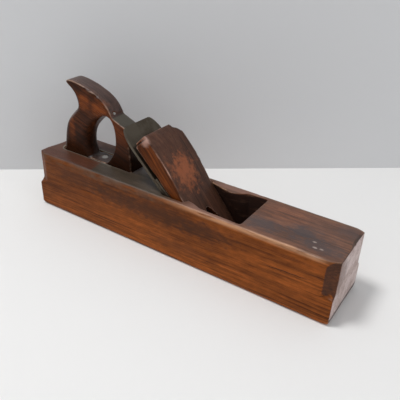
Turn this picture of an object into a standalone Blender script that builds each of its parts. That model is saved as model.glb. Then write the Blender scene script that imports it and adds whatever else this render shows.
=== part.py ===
"""Wooden jack plane: beech stock and tote, forked wedge, and a double iron held by one screw.

World frame, in metres: +X runs from the heel to the toe, +Z up, the sole lies on Z = 0 and the
origin is at the middle of the sole. The iron assembly is drawn in the bed's own frame, where
x runs up the bed, z stands square off it and the origin is where the bed meets the sole.
"""

import math

import bmesh
import bpy
from mathutils import Matrix, Vector

# Stock
STOCK_LENGTH = 0.390
STOCK_WIDTH = 0.076
STOCK_HEIGHT = 0.072
TOP_CHAMFER_IN = 0.0035        # long top edges: width taken off the top face
TOP_CHAMFER_DOWN = 0.0075      # and off the side face
SOLE_ROUND = 0.003
CORNER_CHAMFER_ALONG = 0.013   # upright corners: width taken off the side face
CORNER_CHAMFER_ACROSS = 0.0065  # and off the end face
CORNER_STOP_HEIGHT = 0.036     # the corner chamfers stop this far above the sole
CORNER_STOP_RAMP = 0.006

# Bed, mouth and throat
BED_ANGLE = math.radians(45)
BED_FROM_TOE = 0.134           # bed's foot at the sole, from the toe end
MOUTH_OPENING = 0.0022         # from the cutting edge to the mouth's front
WEAR_HEIGHT = 0.010            # steep part of the throat's front wall
WEAR_LEAN = 0.0010
THROAT_FRONT_FROM_TOE = 0.1065  # top of the throat's front wall, from the toe end
WEDGE_TAPER = math.radians(5)  # the abutments stand this much steeper than the bed
ABUTMENT_REACH = 0.0295        # bed to abutment along the top face
CHEEK_HALF_WIDTH = 0.0192      # between the abutments at their narrowest, halved

# Double iron
IRON_WIDTH = 0.057
IRON_LENGTH = 0.187
IRON_EDGE_THICKNESS = 0.0046
IRON_TOP_THICKNESS = 0.0030
IRON_BEVEL_ANGLE = math.radians(27)
IRON_SHOULDER_IN = 0.0095      # rounded shoulders at the top
IRON_SHOULDER_DOWN = 0.026
SLOT_WIDTH = 0.0115
SLOT_HOLE_RADIUS = 0.0100
SLOT_BOTTOM = 0.047            # centre of the round hole, from the cutting edge
SLOT_TOP = 0.142
EDGE_LIFT = 0.0003             # cutting edge drawn back above the sole
CAP_THICKNESS = 0.0028
CAP_LENGTH = 0.120
CAP_SETBACK = 0.0015           # cap iron's lip behind the cutting edge
CAP_HUMP_RISE = 0.0030
CAP_HUMP_LENGTH = 0.024

# Cap screw and its nut
SCREW_UP = 0.082               # from the cutting edge
SCREW_RADIUS = 0.0040
SCREW_HEAD_RADIUS = 0.0080
SCREW_HEAD_THICKNESS = 0.0032
SCREW_SLOT_WIDTH = 0.0014
SCREW_SLOT_DEPTH = 0.0014
NUT_RADIUS = 0.0075
NUT_SPIGOT_RADIUS = 0.0056
NUT_THICKNESS = 0.0036

# Wedge
WEDGE_HEAD_HEIGHT = 0.0585     # head above the stock's top face
WEDGE_TIP_UP = 0.028           # ends of the legs, from the cutting edge
WEDGE_LEG_WIDTH = 0.0095
WEDGE_FORK_DEPTH = 0.020       # top of the fork below the stock's top face
WEDGE_FAR_CLIP = 0.009
WEDGE_NEAR_CLIP = 0.003
WEDGE_HEAD_BEVEL = 0.0035
WEDGE_FLAT_ABOVE = 0.004       # the flat that bears on the abutments runs on this far above them
WEDGE_BELLY = 0.0035           # above it the head's front face is a little rounded

# Tote
TOTE_THICKNESS = 0.0225
TOTE_OFFSET = 0.0010           # to the left of the stock's centre line
TOTE_FROM_HEEL = 0.015
TOTE_BASE_LENGTH = 0.112
TOTE_MORTISE_DEPTH = 0.012
GRIP_ROUND = 0.0095
FOOT_ROUND = 0.0080            # upright corners of the tote's foot, at the rear
TOTE_SCREW_FROM_HEEL = 0.075
TOTE_SCREW_OFFSET = 0.0015      # to the left of the tote's middle
TOTE_SCREW_LENGTH = 0.034
TOTE_SCREW_RADIUS = 0.0022
TOTE_SCREW_HEAD_RADIUS = 0.0038
BRAD_AT = (0.0840, 0.0625)      # on the steep front of the tote's top: from its rear, up
BRAD_LENGTH = 0.012
BRAD_RADIUS = 0.0009
BRAD_HEAD_RADIUS = 0.0016
BRAD_HEAD_THICKNESS = 0.0008
BRAD_OFFSET = -0.0040           # to the left of the tote's middle
BRAD_LEAN = math.radians(80)    # from upright, so that it runs back through the bar of the tote

# Fits
GAP = 0.0003                   # between pieces that touch
SIDE_PLAY = 0.0005             # iron and wedge to each cheek

WOOD = (0.24, 0.085, 0.030)
WOOD_DARK = (0.11, 0.038, 0.016)
IRON_GREY = (0.16, 0.16, 0.15)
BRASS = (0.45, 0.33, 0.14)

PARTS = None
CUTTERS = None


def clear_scene():
    for item in list(bpy.data.objects):
        bpy.data.objects.remove(item, do_unlink=True)


def new_collection(name):
    collection = bpy.data.collections.new(name)
    bpy.context.scene.collection.children.link(collection)
    return collection


def material(name, colour, roughness, metallic):
    made = bpy.data.materials.new(name)
    made.use_nodes = True
    shader = made.node_tree.nodes["Principled BSDF"]
    shader.inputs["Base Color"].default_value = (*colour, 1)
    shader.inputs["Roughness"].default_value = roughness
    shader.inputs["Metallic"].default_value = metallic
    return made


def add_object(name, mesh, collection, matrix=None):
    made = bpy.data.objects.new(name, mesh)
    collection.objects.link(made)
    if matrix is not None:
        made.matrix_world = matrix
    return made


def add_part(name, mesh, finish, matrix=None, smooth_angle=30):
    mesh.materials.clear()
    mesh.materials.append(finish)
    mesh.shade_smooth()
    mesh.set_sharp_from_angle(angle=math.radians(smooth_angle))
    return add_object(name, mesh, PARTS, matrix)


def add_cutter(name, mesh, matrix=None):
    made = add_object(name, mesh, CUTTERS, matrix)
    made.hide_render = True
    made.display_type = "WIRE"
    return made


def cut(target, cutter):
    modifier = target.modifiers.new("cut " + cutter.name, "BOOLEAN")
    modifier.operation = "DIFFERENCE"
    modifier.solver = "EXACT"
    modifier.object = cutter


def turn_outwards(bm):
    """Faces a closed mesh outwards, whatever its shape and place."""
    bmesh.ops.recalc_face_normals(bm, faces=bm.faces)
    if bm.calc_volume(signed=True) < 0:
        bmesh.ops.reverse_faces(bm, faces=bm.faces)


def mesh_from(name, build):
    """A new mesh filled in by build(bm)."""
    mesh = bpy.data.meshes.new(name)
    bm = bmesh.new()
    build(bm)
    turn_outwards(bm)
    bm.to_mesh(mesh)
    bm.free()
    return mesh


def box_mesh(name, low, high):
    size = [b - a for a, b in zip(low, high)]
    middle = [(a + b) / 2 for a, b in zip(low, high)]
    place = Matrix.Translation(middle) @ Matrix.Diagonal((*size, 1))
    return mesh_from(name, lambda bm: bmesh.ops.create_cube(bm, size=1, matrix=place))


def cylinder_mesh(name, radius, low, high, segments=32):
    place = Matrix.Translation((0, 0, (low + high) / 2))
    return mesh_from(name, lambda bm: bmesh.ops.create_cone(
        bm, cap_ends=True, segments=segments, radius1=radius, radius2=radius,
        depth=high - low, matrix=place))


def outline_mesh(name, loops, thickness, resolution=4):
    """A flat shape drawn in x and y by closed loops, thickness deep, centred on z = 0.

    Each loop is a list of (x, y, kind): "s" for a smooth point and "c" for a corner.
    """
    curve = bpy.data.curves.new(name, "CURVE")
    curve.dimensions = "2D"
    curve.fill_mode = "BOTH"
    curve.extrude = thickness / 2
    curve.resolution_u = resolution
    for loop in loops:
        spline = curve.splines.new("BEZIER")
        spline.bezier_points.add(len(loop) - 1)
        spline.use_cyclic_u = True
        for point, (x, y, kind) in zip(spline.bezier_points, loop):
            point.co = (x, y, 0)
            handle = "AUTO" if kind == "s" else "VECTOR"
            point.handle_left_type = handle
            point.handle_right_type = handle
    drawn = bpy.data.objects.new(name + " outline", curve)
    bpy.context.scene.collection.objects.link(drawn)
    bpy.context.view_layer.update()
    evaluated = drawn.evaluated_get(bpy.context.evaluated_depsgraph_get())
    mesh = bpy.data.meshes.new_from_object(evaluated)
    bpy.data.objects.remove(drawn, do_unlink=True)
    bpy.data.curves.remove(curve)
    bm = bmesh.new()
    bm.from_mesh(mesh)
    bmesh.ops.remove_doubles(bm, verts=bm.verts, dist=0.00001)
    turn_outwards(bm)
    bm.to_mesh(mesh)
    bm.free()
    mesh.name = name
    return mesh


def side_profile_mesh(name, points, width, centre=0.0):
    """A profile drawn in x and z, width across y."""
    loops = [[(x, z, "c") for x, z in points]]
    mesh = outline_mesh(name, loops, width)
    mesh.transform(Matrix.Translation((0, centre, 0)) @ Matrix.Rotation(math.pi / 2, 4, "X"))
    return mesh


def turned_object(name, profile, collection, matrix, steps=32):
    """A closed turned piece; the profile is (radius, z) from the axis at the top to the bottom."""
    mesh = bpy.data.meshes.new(name)
    points = [(radius, 0, z) for radius, z in profile]
    edges = [(i, i + 1) for i in range(len(points) - 1)]
    mesh.from_pydata(points, edges, [])
    made = add_object(name, mesh, collection, matrix)
    screw = made.modifiers.new("turn", "SCREW")
    screw.axis = "Z"
    screw.steps = steps
    screw.render_steps = steps
    screw.use_merge_vertices = True
    screw.merge_threshold = 0.00001
    return made


def loft_mesh(name, rings):
    """A closed solid through rings of equally many points, capped at both ends."""
    def build(bm):
        levels = [[bm.verts.new(point) for point in ring] for ring in rings]
        count = len(levels[0])
        for lower, upper in zip(levels, levels[1:]):
            for i in range(count):
                j = (i + 1) % count
                bm.faces.new((lower[i], lower[j], upper[j], upper[i]))
        bm.faces.new(levels[0])
        bm.faces.new(levels[-1])
    return mesh_from(name, build)


# Places worked out from the driving dimensions

TOE = STOCK_LENGTH / 2
HEEL = -STOCK_LENGTH / 2
ABUTMENT_ANGLE = BED_ANGLE + WEDGE_TAPER
BED_FOOT = TOE - BED_FROM_TOE
BED_TOP = BED_FOOT - STOCK_HEIGHT / math.tan(BED_ANGLE)
ABUTMENT_TOP = BED_TOP + ABUTMENT_REACH
THROAT_FRONT = TOE - THROAT_FRONT_FROM_TOE
SLOT_HALF = IRON_WIDTH / 2 + SIDE_PLAY
IRON_TAPER = math.atan((IRON_EDGE_THICKNESS - IRON_TOP_THICKNESS) / IRON_LENGTH)
EDGE_OFF_BED = GAP + IRON_EDGE_THICKNESS
EDGE_UP_BED = (EDGE_LIFT - EDGE_OFF_BED * math.cos(BED_ANGLE)) / math.sin(BED_ANGLE)
MOUTH_REAR = BED_FOOT + EDGE_OFF_BED / math.sin(BED_ANGLE)
MOUTH_FRONT = MOUTH_REAR + MOUTH_OPENING
WEAR_TOP = MOUTH_FRONT + WEAR_LEAN

BED_FRAME = (Matrix.Translation((BED_FOOT, 0, 0))
             @ Matrix.Rotation(math.pi, 4, "Z")
             @ Matrix.Rotation(-BED_ANGLE, 4, "Y"))
# The iron's upper face: origin on the cutting edge, x up the iron, z square off that face.
FACE_FRAME = (BED_FRAME @ Matrix.Translation((EDGE_UP_BED, 0, EDGE_OFF_BED))
              @ Matrix.Rotation(IRON_TAPER, 4, "Y"))
CAP_TOP = GAP + CAP_THICKNESS
# The wedge's tips below the stock's top, measured down the abutments' face.
TIP_BELOW_TOP = (STOCK_HEIGHT - WEDGE_TIP_UP * math.sin(BED_ANGLE)) / math.sin(ABUTMENT_ANGLE)
WEDGE_BACK = CAP_TOP + GAP


def throat_front_at(z):
    """X of the throat's front wall at height z."""
    if z < WEAR_HEIGHT:
        return MOUTH_FRONT + WEAR_LEAN * z / WEAR_HEIGHT
    share = (z - WEAR_HEIGHT) / (STOCK_HEIGHT - WEAR_HEIGHT)
    return WEAR_TOP + (THROAT_FRONT - WEAR_TOP) * share


def abutment_at(z):
    """X of the abutments' back faces at height z."""
    return ABUTMENT_TOP + (STOCK_HEIGHT - z) / math.tan(ABUTMENT_ANGLE)


def stock_blank():
    half = STOCK_WIDTH / 2
    section = [
        (-half + SOLE_ROUND * 0.6, 0),
        (half - SOLE_ROUND * 0.6, 0),
        (half, SOLE_ROUND * 0.6),
        (half, STOCK_HEIGHT - TOP_CHAMFER_DOWN),
        (half - TOP_CHAMFER_IN * 0.3, STOCK_HEIGHT - TOP_CHAMFER_DOWN * 0.42),
        (half - TOP_CHAMFER_IN, STOCK_HEIGHT),
    ]
    section += [(-y, z) for y, z in reversed(section[3:])]
    section.append((-half, SOLE_ROUND * 0.6))
    ends = (HEEL, TOE)
    return loft_mesh("stock", [[(x, y, z) for y, z in section] for x in ends])


def corner_cutter(name, x_sign, y_sign):
    """Takes the chamfer off one upright corner and ends it in a short ramp."""
    beyond = 0.004
    above = STOCK_HEIGHT + 0.003
    stop = CORNER_STOP_HEIGHT
    slope = CORNER_CHAMFER_ACROSS / CORNER_CHAMFER_ALONG

    def ring(z, share):
        along = CORNER_CHAMFER_ALONG * share
        corners = [
            (along + beyond / slope, -beyond),
            (-beyond, along * slope + beyond * slope),
            (-beyond, -beyond),
        ]
        return [(x_sign * (TOE - x), y_sign * (STOCK_WIDTH / 2 - y), z) for x, y in corners]

    ramp = [(0.0, 0.0), (0.35, 0.55), (0.7, 0.88), (1.0, 1.0)]
    rings = [ring(stop - CORNER_STOP_RAMP + CORNER_STOP_RAMP * up, share) for up, share in ramp]
    rings.append(ring(above, 1.0))
    return add_cutter(name, loft_mesh(name, rings))


def slot_cutter():
    """Room for the iron and wedge, between the bed and the abutments, full width to the mouth."""
    over = 0.020
    lean = over / math.tan(BED_ANGLE)
    heights = [STOCK_HEIGHT * i / 200 for i in range(201)]
    meet = next(z for z in heights if abutment_at(z) < throat_front_at(z))
    points = [
        (BED_FOOT + lean, -over),
        (BED_TOP - lean, STOCK_HEIGHT + over),
        (ABUTMENT_TOP - over / math.tan(ABUTMENT_ANGLE), STOCK_HEIGHT + over),
        (abutment_at(meet), meet),
        (MOUTH_FRONT, 0),
        (MOUTH_FRONT, -over),
    ]
    return add_cutter("slot", side_profile_mesh("slot", points, 2 * SLOT_HALF))


def throat_cutter():
    """Room for shavings: open between the abutments at the top, a slit at the mouth.

    Each edge is a list of (share of the way forward, share of the abutment's step inwards).
    The right abutment has lost its front half.
    """
    left_edge = [(-0.06, 0.25), (0.05, 0.36), (0.26, 0.80), (0.39, 1.0), (0.49, 0.90),
                 (0.58, 0.55), (0.68, 0.0), (1.0, -0.13)]
    right_edge = [(-0.06, 0.84), (0.03, 0.80), (0.10, 0.62), (0.19, 0.38), (0.31, 0.10),
                  (0.45, 0.02), (0.68, -0.04), (1.0, -0.10)]
    reach = THROAT_FRONT - ABUTMENT_TOP
    step = SLOT_HALF - CHEEK_HALF_WIDTH
    slit = 0.008
    mouth_half = SLOT_HALF - 0.0004
    rise = 0.05

    def ring(lift):
        points = []
        for sign, edge in ((-1, right_edge), (1, list(reversed(left_edge)))):
            for forward, inwards in edge:
                low = Vector((WEAR_TOP - slit * (1 - forward), sign * mouth_half, WEAR_HEIGHT))
                side = sign * (SLOT_HALF - inwards * step)
                high = Vector((ABUTMENT_TOP + forward * reach, side, STOCK_HEIGHT))
                points.append(low.lerp(high, lift))
        return points

    return add_cutter("throat", loft_mesh("throat", [ring(0), ring(1 + rise)]))


def bed_groove_cutter():
    """Channel down the bed for the screw's head, open at the top."""
    half = SCREW_HEAD_RADIUS + 0.0015
    low = EDGE_UP_BED + SLOT_BOTTOM - SCREW_HEAD_RADIUS
    depth = SCREW_HEAD_THICKNESS + 3 * GAP
    mesh = box_mesh("bed groove", (low, -half, -depth), (low + STOCK_HEIGHT * 2, half, 0.002))
    return add_cutter("bed groove", mesh, BED_FRAME)


def mortise_cutter():
    """Socket for the tote's foot, round at the rear."""
    low = HEEL + TOTE_FROM_HEEL - GAP
    high = HEEL + TOTE_FROM_HEEL + TOTE_BASE_LENGTH + GAP
    half = TOTE_THICKNESS / 2 + GAP
    turns = [math.pi / 2 * i / 6 for i in range(7)]
    corner = [(low + FOOT_ROUND * (1 - math.cos(turn)), half - FOOT_ROUND * (1 - math.sin(turn)))
              for turn in turns]
    side = corner + [(high, half)]
    points = side + [(x, -y) for x, y in reversed(side)]
    depth = 2 * (TOTE_MORTISE_DEPTH + GAP)
    mesh = outline_mesh("mortise", [[(x, y, "c") for x, y in points]], depth)
    return add_cutter("mortise", mesh, Matrix.Translation((0, TOTE_OFFSET, STOCK_HEIGHT)))


def end_round_cutter(name, x_sign):
    """Eases the sole's arris at one end."""
    size = SOLE_ROUND
    x = x_sign * TOE
    points = [(x + x_sign * 0.004, -0.004), (x - x_sign * size, -0.004), (x - x_sign * size, 0),
              (x - x_sign * size * 0.35, size * 0.4), (x, size * 1.1), (x + x_sign * 0.004, size * 1.1)]
    if x_sign < 0:
        points.reverse()
    return add_cutter(name, side_profile_mesh(name, points, STOCK_WIDTH + 0.01))


def screw_place():
    top = (HEEL + TOTE_SCREW_FROM_HEEL, TOTE_OFFSET + TOTE_SCREW_OFFSET, STOCK_HEIGHT - GAP)
    return Matrix.Translation(top)


def wood_screw_profile(clear):
    """Countersunk head and plain shank, grown by clear on every side."""
    head = TOTE_SCREW_HEAD_RADIUS + clear
    shank = TOTE_SCREW_RADIUS + clear
    rise = 0.004 if clear else 0.0
    return [(0, rise), (head, rise), (head, -0.0006), (shank, -0.0030),
            (shank, -TOTE_SCREW_LENGTH * 0.8), (0, -TOTE_SCREW_LENGTH - 3 * clear)]


def make_stock(finish):
    stock = add_part("stock", stock_blank(), finish)
    for x_sign in (-1, 1):
        for y_sign in (-1, 1):
            name = f"corner {'toe' if x_sign > 0 else 'heel'} {'left' if y_sign > 0 else 'right'}"
            cut(stock, corner_cutter(name, x_sign, y_sign))
        cut(stock, end_round_cutter(f"sole end {x_sign}", x_sign))
    cut(stock, slot_cutter())
    cut(stock, throat_cutter())
    cut(stock, bed_groove_cutter())
    cut(stock, mortise_cutter())
    hole = turned_object("stock screw hole", wood_screw_profile(GAP), CUTTERS, screw_place(), 16)
    hole.hide_render = True
    hole.display_type = "WIRE"
    cut(stock, hole)
    return stock


def tote_loops():
    """The tote's outline and its hand hole, x from the tote's rear and y up from the stock's top.

    Each point is (x, y, kind, round): kind as in outline_mesh, round from 0, square, to 1, the
    full rounding of the grip. The foot is drawn too deep and trimmed to the mortise later.
    """
    base = TOTE_BASE_LENGTH
    ledge = -GAP
    deep = -TOTE_MORTISE_DEPTH - 0.010
    foot = FOOT_ROUND / GRIP_ROUND
    outer = [
        (0, deep - 0.010, "c", foot), (0, deep, "c", foot), (0, ledge, "c", foot),
        (0.0012, 0, "c", 1), (0.0030, 0.0130, "s", 1), (0.0058, 0.0260, "s", 1),
        (0.0098, 0.0370, "s", 1), (0.0160, 0.0455, "s", 1), (0.0230, 0.0525, "s", 0.95),
        (0.0290, 0.0585, "s", 0.85), (0.0306, 0.0655, "s", 0.75), (0.0286, 0.0745, "s", 0.50),
        (0.0240, 0.0808, "s", 0.30), (0.0190, 0.0850, "s", 0.16), (0.0170, 0.0878, "s", 0.12),
        (0.0184, 0.0902, "s", 0.12), (0.0240, 0.0910, "s", 0.12), (0.0335, 0.0901, "s", 0.12),
        (0.0460, 0.0875, "s", 0.12), (0.0590, 0.0832, "s", 0.12), (0.0700, 0.0778, "s", 0.12),
        (0.0775, 0.0718, "s", 0.12), (0.0825, 0.0655, "s", 0.12), (0.0855, 0.0595, "c", 0.10),
        (0.1040, 0.0520, "c", 0.10), (base - 0.0040, 0.0380, "s", 0.16),
        (base - 0.0018, 0.0230, "s", 0.22), (base - 0.0005, 0.0080, "s", 0.30),
        (base - 0.0002, 0, "c", 0.30), (base, ledge, "c", 0), (base, deep, "c", 0),
        (base, deep - 0.010, "c", 0),
    ]
    hole = [
        (0.0487, 0, "c", 0), (0.0485, 0.0004, "c", 1), (0.0452, 0.0100, "s", 1),
        (0.0445, 0.0200, "s", 1), (0.0462, 0.0290, "s", 1), (0.0500, 0.0370, "s", 0.95),
        (0.0560, 0.0450, "s", 0.75), (0.0630, 0.0520, "s", 0.50), (0.0700, 0.0570, "s", 0.28),
        (0.0765, 0.0588, "s", 0.20), (0.0825, 0.0562, "s", 0.20), (0.0868, 0.0492, "s", 0.20),
        (0.0886, 0.0395, "s", 0.24), (0.0884, 0.0290, "s", 0.30), (0.0863, 0.0195, "s", 0.30),
        (0.0823, 0.0112, "s", 0.30), (0.0775, 0.0045, "s", 0.30), (0.0735, 0.0004, "c", 0.30),
        (0.0730, 0, "c", 0),
    ]
    return [outer, hole]


def smooth_loop(loop, steps=5):
    """Points along a closed loop: curved between smooth points, straight where both are corners."""
    count = len(loop)
    points = []
    for i in range(count):
        before, start, end, after = (loop[(i + k) % count] for k in (-1, 0, 1, 2))
        chord = Vector(end[:2]) - Vector(start[:2])
        leave = (Vector(end[:2]) - Vector(before[:2])) / 2 if start[2] == "s" else chord
        arrive = (Vector(after[:2]) - Vector(start[:2])) / 2 if end[2] == "s" else chord
        straight = start[2] == "c" and end[2] == "c"
        for step in range(1 if straight else steps):
            t = step / steps
            spot = Vector(start[:2]) + (3 * t**2 - 2 * t**3) * chord
            spot += (t**3 - 2 * t**2 + t) * leave + (t**3 - t**2) * arrive
            points.append((spot.x, spot.y, start[3] + (end[3] - start[3]) * t))
    return points


def ring_points(points, inwards, turn, side):
    """The loop's points on one level of the rounding: turn is 0 at the edge's full width."""
    count = len(points)
    area = sum(points[i - 1][0] * points[i][1] - points[i][0] * points[i - 1][1]
               for i in range(count))
    sign = math.copysign(1, area) * inwards
    ring = []
    for i, (x, y, share) in enumerate(points):
        radius = max(GRIP_ROUND * share, 0.0002)
        last, following = points[i - 1], points[(i + 1) % count]
        along = Vector((following[0] - last[0], following[1] - last[1])).normalized()
        off = Vector((along.y, -along.x)) * sign * radius * (1 - math.cos(turn))
        depth = TOTE_THICKNESS / 2 - radius * (1 - math.sin(turn))
        ring.append((x + off.x, y + off.y, side * depth))
    return ring


def tote_mesh():
    """Walls lofted through rings that draw in towards both side faces, each side face filled."""
    turns = [math.pi / 2 * i / 6 for i in range(7)]
    levels = [(-1, turn) for turn in reversed(turns)] + [(1, turn) for turn in turns]

    def build(bm):
        caps = ([], [])
        for loop, inwards in zip(tote_loops(), (-1, 1)):
            points = smooth_loop(loop)
            count = len(points)
            rings = [[bm.verts.new(spot) for spot in ring_points(points, inwards, turn, side)]
                     for side, turn in levels]
            for lower, upper in zip(rings, rings[1:]):
                for i in range(count):
                    bm.faces.new((lower[i - 1], lower[i], upper[i], upper[i - 1]))
            for cap, ring in zip(caps, (rings[0], rings[-1])):
                cap.extend(bm.edges.get((ring[i - 1], ring[i])) for i in range(count))
        for cap in caps:
            bmesh.ops.triangle_fill(bm, use_beauty=True, edges=cap)

    return mesh_from("tote", build)


def brad_place():
    """On the steep front of the tote's top, running back through the wood above the hand hole."""
    along, up = BRAD_AT
    spot = (HEEL + TOTE_FROM_HEEL + along, TOTE_OFFSET + BRAD_OFFSET, STOCK_HEIGHT + up)
    return Matrix.Translation(spot) @ Matrix.Rotation(BRAD_LEAN, 4, "Y")


def brad_profile(clear):
    head = BRAD_HEAD_RADIUS + clear
    shank = BRAD_RADIUS + clear
    rise = 0.0016 if clear else 0.0003
    seat = -BRAD_HEAD_THICKNESS - clear
    return [(0, rise), (head, rise), (head, seat), (shank, seat),
            (shank, -BRAD_LENGTH * 0.85), (0, -BRAD_LENGTH - 3 * clear)]


def make_tote(finish):
    mesh = tote_mesh()
    place = (Matrix.Translation((HEEL + TOTE_FROM_HEEL, TOTE_OFFSET, STOCK_HEIGHT))
             @ Matrix.Rotation(math.pi / 2, 4, "X"))
    mesh.transform(place)
    tote = add_part("tote", mesh, finish)
    foot = STOCK_HEIGHT - TOTE_MORTISE_DEPTH
    trim = box_mesh("foot trim", (HEEL, -STOCK_WIDTH / 2, foot - STOCK_HEIGHT / 2),
                    (BED_FOOT, STOCK_WIDTH / 2, foot))
    cut(tote, add_cutter("foot trim", trim))
    for name, profile, spot in (
            ("tote screw hole", wood_screw_profile(GAP), screw_place()),
            ("brad hole", brad_profile(GAP), brad_place())):
        hole = turned_object(name, profile, CUTTERS, spot, 16)
        hole.hide_render = True
        hole.display_type = "WIRE"
        cut(tote, hole)
    return tote


def turned_part(name, profile, finish, place, steps=32):
    made = turned_object(name, profile, PARTS, place, steps)
    made.data.materials.append(finish)
    made.modifiers["turn"].use_smooth_shade = True
    return made


def make_tote_fixings(steel):
    screw = turned_part("tote_base_screw", wood_screw_profile(0), steel, screw_place(), 24)
    slot = box_mesh("tote screw slot", (-0.005, -0.0005, -0.0009), (0.005, 0.0005, 0.001))
    cut(screw, add_cutter("tote screw slot", slot, screw_place() @ Matrix.Rotation(0.6, 4, "Z")))
    turned_part("tote_brad", brad_profile(0), steel, brad_place(), 16)


def iron_outline():
    half = IRON_WIDTH / 2
    top = IRON_LENGTH
    inner = half - IRON_SHOULDER_IN
    shoulder = []
    for i in range(7):
        turn = math.pi / 2 * i / 6
        shoulder.append((top - IRON_SHOULDER_DOWN * (1 - math.sin(turn)),
                         inner + IRON_SHOULDER_IN * math.cos(turn)))
    side = [(0, half)] + shoulder
    outer = side + [(x, -y) for x, y in reversed(side)]
    narrow = SLOT_WIDTH / 2
    neck = math.asin(narrow / SLOT_HOLE_RADIUS)
    hole = []
    for i in range(17):
        turn = neck + (2 * math.pi - 2 * neck) * i / 16
        hole.append((SLOT_BOTTOM + SLOT_HOLE_RADIUS * math.cos(turn),
                     SLOT_HOLE_RADIUS * math.sin(turn)))
    for i in range(9):
        turn = -math.pi / 2 + math.pi * i / 8
        hole.append((SLOT_TOP - narrow + narrow * math.cos(turn), narrow * math.sin(turn)))
    return [[(x, y, "c") for x, y in loop] for loop in (outer, hole)]


def make_cutting_iron(finish):
    """Laid on the bed, tapering in thickness, with the grinding bevel on its under side."""
    mesh = outline_mesh("cutting_iron", iron_outline(), IRON_EDGE_THICKNESS, resolution=1)
    fall = (IRON_EDGE_THICKNESS - IRON_TOP_THICKNESS) / IRON_LENGTH
    bevel = IRON_EDGE_THICKNESS / math.tan(IRON_BEVEL_ANGLE)
    for vertex in mesh.vertices:
        if vertex.co.z > 0:
            vertex.co.z = IRON_EDGE_THICKNESS - fall * vertex.co.x
        else:
            vertex.co.z = 0
            if vertex.co.x < 0.0001:
                vertex.co.x = bevel
    place = BED_FRAME @ Matrix.Translation((EDGE_UP_BED, 0, GAP))
    return add_part("cutting_iron", mesh, finish, place)


def cap_profile():
    """Upper face then under face, as (along the iron, off its face)."""
    steps = 8
    upper = [(CAP_SETBACK, GAP)]
    lower = []
    for i in range(steps + 1):
        share = i / steps
        x = CAP_SETBACK + 0.001 + (CAP_HUMP_LENGTH - 0.001) * share
        rise = CAP_HUMP_RISE * math.sin(math.pi * share) ** 1.2 if 0 < share < 1 else 0
        start = 1 - math.exp(-6 * share)
        upper.append((x, GAP + 0.0006 + (CAP_THICKNESS - 0.0006) * start + rise))
        lower.append((x + 0.0006, GAP + max(0.0, rise - 0.0004)))
    upper.append((CAP_SETBACK + CAP_LENGTH, CAP_TOP))
    lower.append((CAP_SETBACK + CAP_LENGTH, GAP))
    return upper + list(reversed(lower[1:]))


def make_cap_iron(finish):
    mesh = side_profile_mesh("cap_iron", cap_profile(), IRON_WIDTH)
    cap = add_part("cap_iron", mesh, finish, FACE_FRAME)
    hole = cylinder_mesh("cap hole", NUT_SPIGOT_RADIUS + GAP, -0.002, 0.008)
    cut(cap, add_cutter("cap hole", hole, FACE_FRAME @ Matrix.Translation((SCREW_UP, 0, 0))))
    return cap


def screw_frame():
    return FACE_FRAME @ Matrix.Translation((SCREW_UP, 0, 0))


def make_cap_fixings(brass, steel):
    """The nut riveted into the cap iron, and the screw that clamps it through the iron's slot."""
    thick = IRON_EDGE_THICKNESS - SCREW_UP * math.tan(IRON_TAPER)
    top = CAP_TOP + GAP + NUT_THICKNESS
    bore = SCREW_RADIUS + GAP
    nut = mesh_from("cap_iron_nut", lambda bm: turn_ring(bm, [
        (bore, top), (NUT_RADIUS - 0.0006, top), (NUT_RADIUS, top - 0.0006),
        (NUT_RADIUS, CAP_TOP + GAP), (NUT_SPIGOT_RADIUS, CAP_TOP + GAP),
        (NUT_SPIGOT_RADIUS, GAP), (bore, GAP)]))
    add_part("cap_iron_nut", nut, brass, screw_frame())
    under = -thick - GAP * 1.5
    profile = [
        (0, top - 0.0004), (SCREW_RADIUS - 0.0004, top - 0.0004), (SCREW_RADIUS, top - 0.0010),
        (SCREW_RADIUS, under), (SCREW_HEAD_RADIUS, under),
        (SCREW_HEAD_RADIUS, under - SCREW_HEAD_THICKNESS + 0.0006),
        (SCREW_HEAD_RADIUS - 0.0008, under - SCREW_HEAD_THICKNESS), (0, under - SCREW_HEAD_THICKNESS)]
    screw = turned_part("cap_screw", profile, steel, screw_frame())
    half = SCREW_SLOT_WIDTH / 2
    slot = box_mesh("cap screw slot", (-0.01, -half, under - SCREW_HEAD_THICKNESS - 0.001),
                    (0.01, half, under - SCREW_HEAD_THICKNESS + SCREW_SLOT_DEPTH))
    cut(screw, add_cutter("cap screw slot", slot, screw_frame() @ Matrix.Rotation(0.5, 4, "Z")))


def turn_ring(bm, profile, steps=32):
    """A ring turned about z from a closed profile of (radius, z)."""
    rows = []
    for i in range(steps):
        turn = 2 * math.pi * i / steps
        rows.append([bm.verts.new((r * math.cos(turn), r * math.sin(turn), z)) for r, z in profile])
    for i in range(steps):
        here, after = rows[i], rows[(i + 1) % steps]
        for j in range(len(profile)):
            k = (j + 1) % len(profile)
            bm.faces.new((here[j], here[k], after[k], after[j]))


def wedge_back_at(up):
    """World X and Z of a point on the wedge's back, up metres from the cutting edge."""
    point = FACE_FRAME @ Vector((up, 0, WEDGE_BACK))
    return point.x, point.z


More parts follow.
